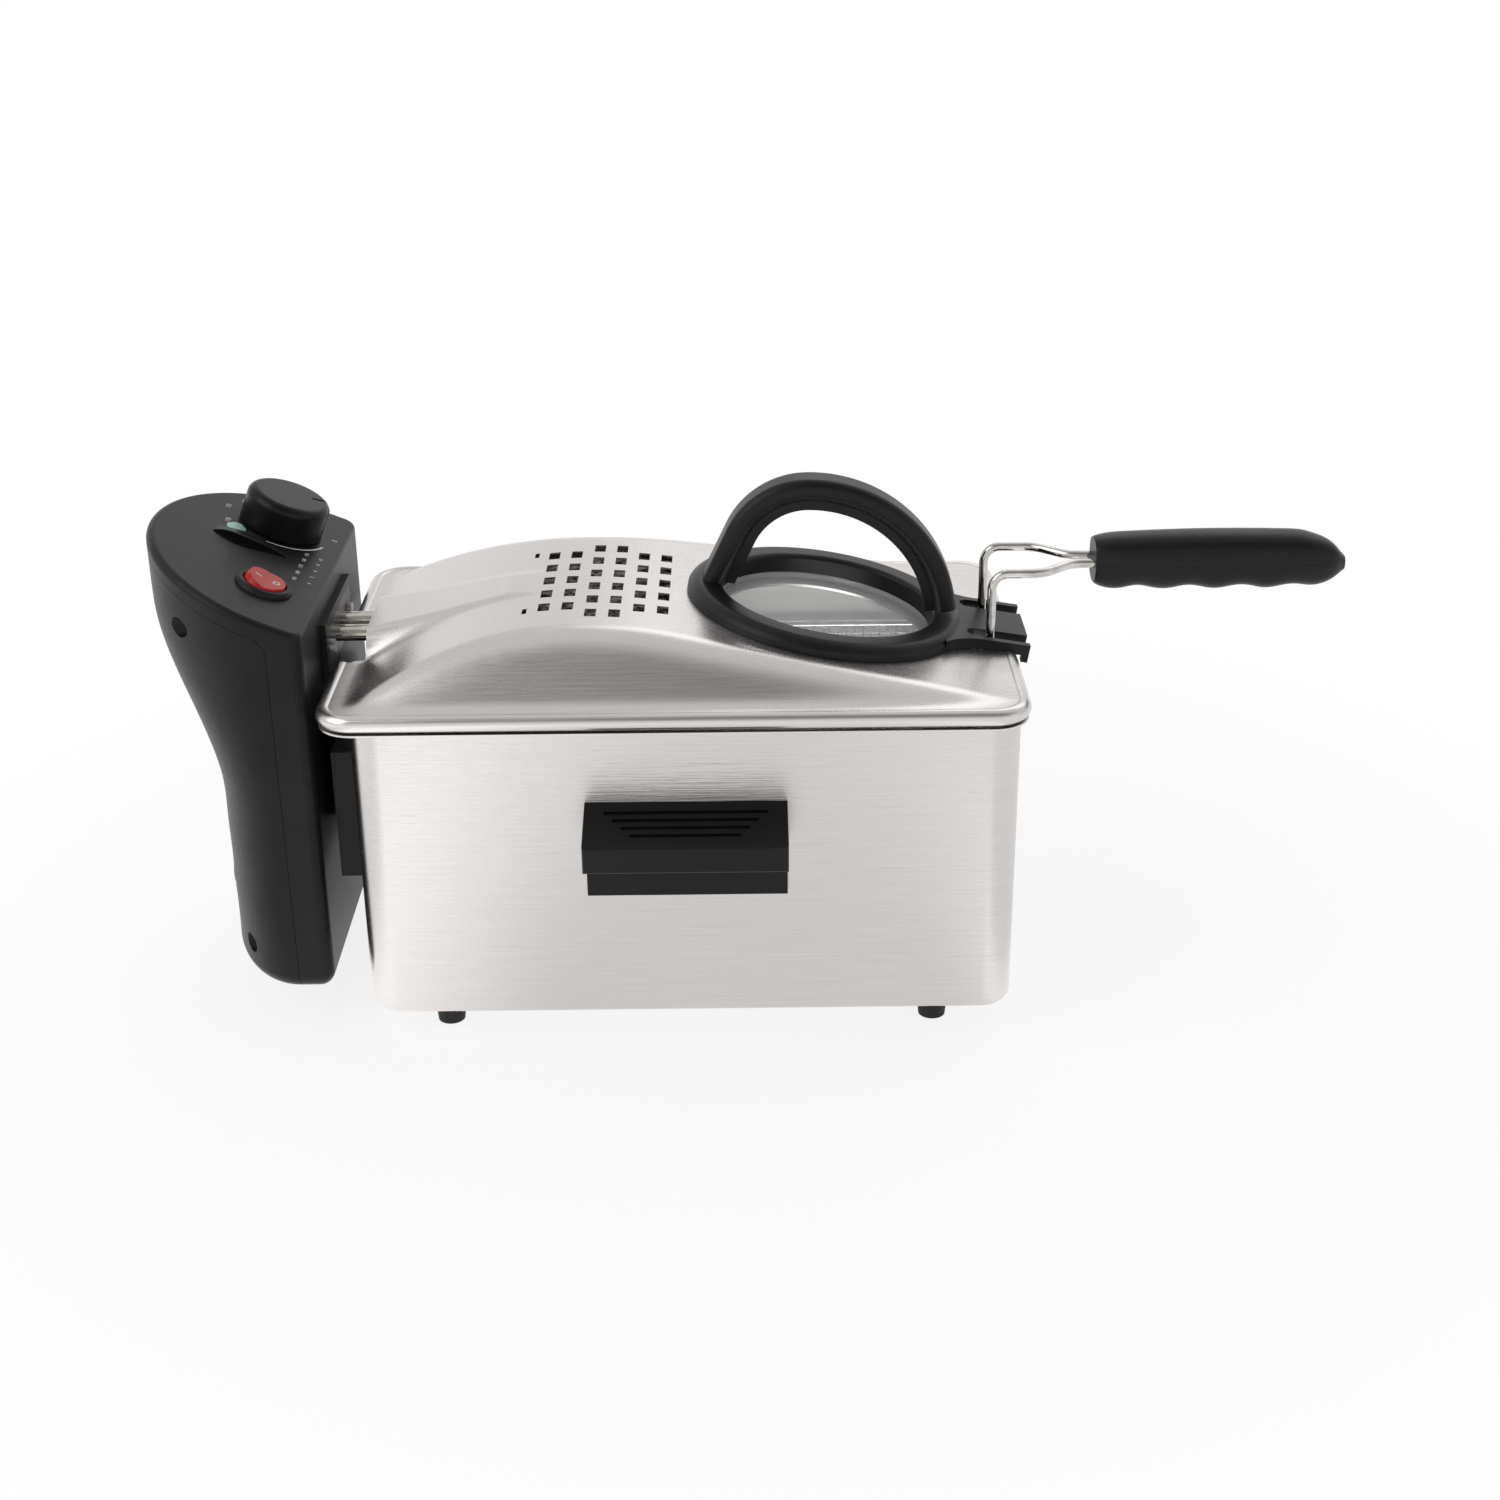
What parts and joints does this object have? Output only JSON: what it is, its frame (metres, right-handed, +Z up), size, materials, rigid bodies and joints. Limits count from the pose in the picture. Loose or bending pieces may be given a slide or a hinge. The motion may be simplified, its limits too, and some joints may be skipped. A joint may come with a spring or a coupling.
{
  "type": "deep fryer",
  "caption": "Steel countertop deep fryer with a lift-off windowed lid, wire basket on a handle, lift-out oil pot and a hang-on control unit with a looped heating element.",
  "frame": {"origin": "bottom centre of the overall box, on the plane of the feet", "axes": "+X along the length towards the basket grip, +Y towards the back, +Z up"},
  "size_m": [0.528, 0.2304, 0.2305],
  "materials": {
    "brushed_steel": "brushed, satin",
    "pot_steel": "bright drawn",
    "element_steel": "satin",
    "black_plastic": "fine grained",
    "inner_plastic": "plain",
    "rubber": "matt",
    "seal_rubber": "matt",
    "clear_glass": "clear",
    "chrome_wire": "bright",
    "screw_steel": "zinc plated",
    "red_plastic": "translucent",
    "green_lens": "translucent",
    "filter_felt": "felt"
  },
  "bodies": {
    "housing": {"outer_housing": "brushed_steel", "base_plate": "brushed_steel", "foot_front_left": "rubber", "foot_front_right": "rubber", "foot_back_left": "rubber", "foot_back_right": "rubber", "foot_screws": "screw_steel", "side_handle_front": "black_plastic", "side_handle_back": "black_plastic", "side_handle_screws": "screw_steel", "mounting_block": "black_plastic", "mounting_block_screws": "screw_steel"},
    "oil_pot": {"oil_pot": "pot_steel"},
    "control_unit": {"inner_cover": "black_plastic", "outer_cover": "black_plastic", "cover_screws": "screw_steel", "element_plate": "element_steel", "element_plate_screws": "screw_steel", "heating_element": "element_steel", "thermostat_probe": "element_steel", "cutout_probe": "element_steel", "probe_clip": "element_steel", "thermostat_body": "inner_plastic", "switch_body": "black_plastic", "ready_lens": "green_lens", "cutout_body": "inner_plastic", "interlock_switch": "inner_plastic", "terminal_block": "inner_plastic", "cord_gland": "black_plastic"},
    "thermostat_knob": {"thermostat_knob": "black_plastic", "thermostat_shaft": "element_steel"},
    "rocker": {"rocker": "red_plastic"},
    "reset_button": {"reset_button": "red_plastic"},
    "basket": {"basket_rim": "chrome_wire", "basket_floor_mesh": "chrome_wire", "basket_front_mesh": "chrome_wire", "basket_back_mesh": "chrome_wire", "basket_left_mesh": "chrome_wire", "basket_right_mesh": "chrome_wire", "basket_hoop_left": "chrome_wire", "basket_hoop_right": "chrome_wire", "handle_wire": "chrome_wire", "handle_bracket": "chrome_wire", "grip_upper": "black_plastic", "grip_lower": "black_plastic", "grip_screws": "screw_steel"},
    "lid": {"lid_shell": "brushed_steel", "window_bezel": "black_plastic", "lid_handle": "black_plastic", "window_glass": "clear_glass", "window_seal": "seal_rubber", "window_retainer": "element_steel", "retainer_screws": "screw_steel", "filter_tray": "element_steel", "filter_pad": "filter_felt"}
  },
  "joints": [
    {"name": "pot_lift", "type": "slide", "parent": "housing", "child": "oil_pot", "axis": [0, 0, 1], "range_m": [0, 0.14]},
    {"name": "control_lift", "type": "slide", "parent": "oil_pot", "child": "control_unit", "axis": [0, 0, 1], "range_m": [0, 0.13]},
    {"name": "basket_lift", "type": "slide", "parent": "control_unit", "child": "basket", "axis": [0, 0, 1], "range_m": [0, 0.12]},
    {"name": "lid_lift", "type": "slide", "parent": "basket", "child": "lid", "axis": [0, 0, 1], "range_m": [0, 0.1]},
    {"name": "knob_turn", "type": "hinge", "parent": "control_unit", "child": "thermostat_knob", "pos_m": [-0.21535, 0.035, 0.19755], "axis": [0.3746, 0, 0.9272], "range_deg": [0, 240]},
    {"name": "rocker_tip", "type": "hinge", "parent": "control_unit", "child": "rocker", "pos_m": [-0.20951, -0.037, 0.19519], "axis": [0, 1, 0], "range_deg": [-18, 0]},
    {"name": "reset_push", "type": "slide", "parent": "control_unit", "child": "reset_button", "axis": [1, 0, 0], "range_m": [0, 0.002], "stiffness_N_per_m": 300, "springref_m": -0.002}
  ]
}
